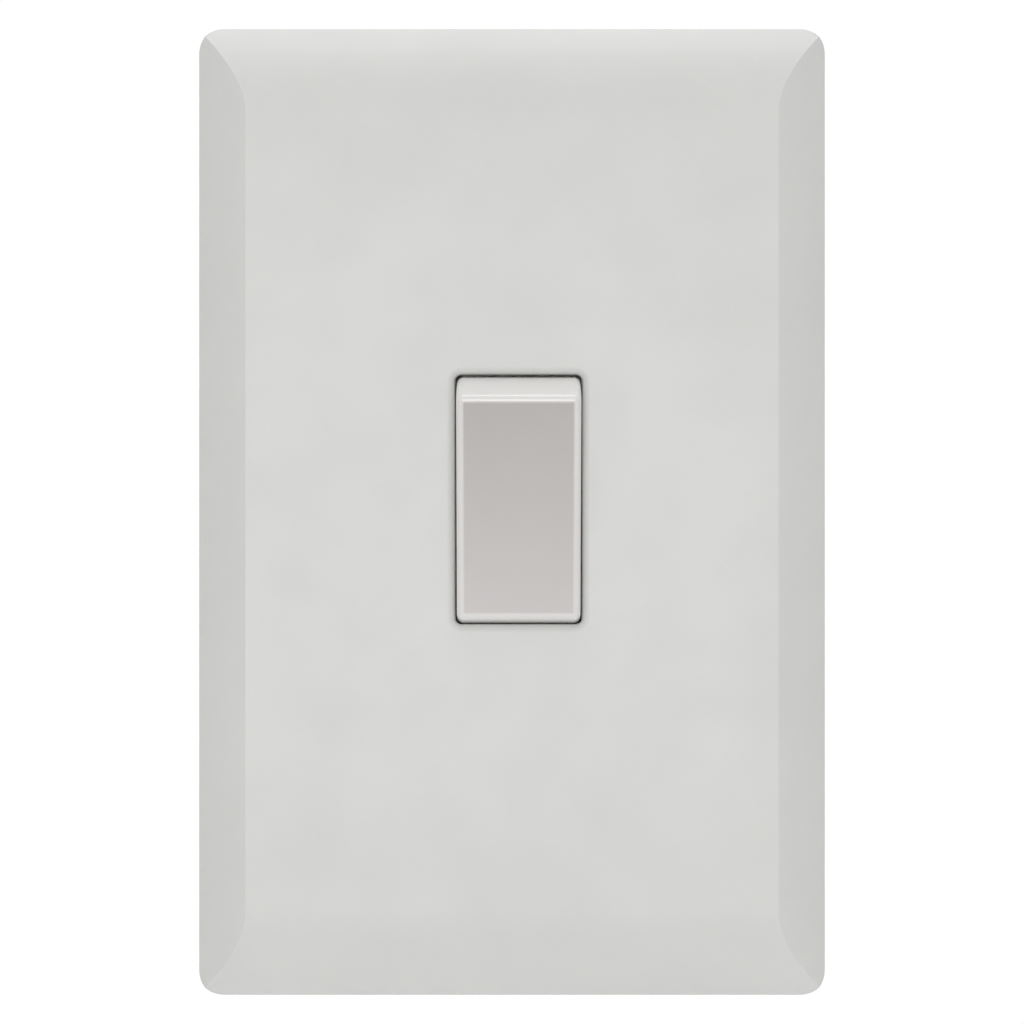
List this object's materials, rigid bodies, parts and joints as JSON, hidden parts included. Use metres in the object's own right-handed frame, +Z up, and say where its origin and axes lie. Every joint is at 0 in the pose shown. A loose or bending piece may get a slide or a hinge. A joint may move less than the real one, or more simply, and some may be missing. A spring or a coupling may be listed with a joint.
{
  "type": "wall plate with rocker switch",
  "caption": "One-gang screwless wall plate with bevelled sides and a rocker switch in its window, on its strap with box screws.",
  "frame": {"origin": "centre of the plate on the wall plane, midway between the two box screws", "axes": "+Z up the long side of the plate, +X to the right seen from the room, +Y into the wall"},
  "size_m": [0.0764, 0.0352, 0.118],
  "materials": {
    "plate": "satin white polycarbonate",
    "key": "glossy warm white",
    "zinc_steel": "zinc-plated sheet",
    "spring_steel": "spring steel",
    "rivet_steel": "nickel-plated rivets",
    "screw_steel": "zinc-plated screws",
    "earth_green": "green passivated screw",
    "housing": "grey-white urea housing",
    "collar": "white polycarbonate frame",
    "carrier": "natural nylon",
    "plunger": "natural acetal",
    "spring_wire": "spring wire",
    "brass": "stamped brass",
    "silver": "silver contact",
    "clamp_steel": "yellow-zinc saddle plate"
  },
  "bodies": {
    "housing": {"mounting_strap": "zinc_steel", "cover_clips": "spring_steel", "clip_rivets": "rivet_steel", "box_screws": "screw_steel", "earth_screw": "earth_green", "module_base": "housing", "module_collar": "collar", "module_latches": "spring_steel", "fixed_contact": "silver", "common_terminal": "brass", "switched_terminal": "brass"},
    "cover": {"cover_plate": "plate"},
    "rocker": {"rocker_cap": "key", "rocker_carrier": "carrier", "plunger_spring": "spring_wire"},
    "plunger": {"plunger": "plunger"},
    "seesaw": {"contact_seesaw": "brass", "moving_contact": "silver"},
    "common_screw": {"common_clamp_screw": "screw_steel"},
    "common_clamp": {"common_clamp_plate": "clamp_steel"},
    "switched_screw": {"switched_clamp_screw": "screw_steel"},
    "switched_clamp": {"switched_clamp_plate": "clamp_steel"}
  },
  "joints": [
    {"name": "rocker_tilt", "type": "hinge", "parent": "housing", "child": "rocker", "pos_m": [0.0008, -0.002, 0.0015], "axis": [-1, 0, 0], "range_deg": [0, 17]},
    {"name": "seesaw_tilt", "type": "hinge", "parent": "housing", "child": "seesaw", "pos_m": [0.0008, 0.00865, 0.0015], "axis": [1, 0, 0], "range_deg": [0, 20]},
    {"name": "plunger_slide", "type": "slide", "parent": "rocker", "child": "plunger", "axis": [0, -0.989, -0.1478], "range_m": [0, 0.0012], "stiffness_N_per_m": 300, "springref_m": -0.002, "deforming": ["plunger_spring"]},
    {"name": "cover_pull", "type": "slide", "parent": "housing", "child": "cover", "axis": [0, -1, 0], "range_m": [0, 0.02], "deforming": ["cover_clips"]},
    {"name": "common_screw_turn", "type": "hinge", "parent": "housing", "child": "common_screw", "pos_m": [0.0008, 0.0205, 0.01428], "axis": [0, -1, 0], "range_deg": [0, 960]},
    {"name": "common_clamp_draw", "type": "slide", "parent": "housing", "child": "common_clamp", "axis": [0, 1, 0], "range_m": [0, 0.0016]},
    {"name": "switched_screw_turn", "type": "hinge", "parent": "housing", "child": "switched_screw", "pos_m": [0.0008, 0.0205, -0.01128], "axis": [0, -1, 0], "range_deg": [0, 960]},
    {"name": "switched_clamp_draw", "type": "slide", "parent": "housing", "child": "switched_clamp", "axis": [0, 1, 0], "range_m": [0, 0.0016]}
  ],
  "couplings": [
    {"joint": "seesaw_tilt", "follows": "rocker_tilt", "ratio": 1.1765},
    {"joint": "common_screw_turn", "follows": "common_clamp_draw", "rad_per_m": 10472},
    {"joint": "switched_screw_turn", "follows": "switched_clamp_draw", "rad_per_m": 10472}
  ]
}
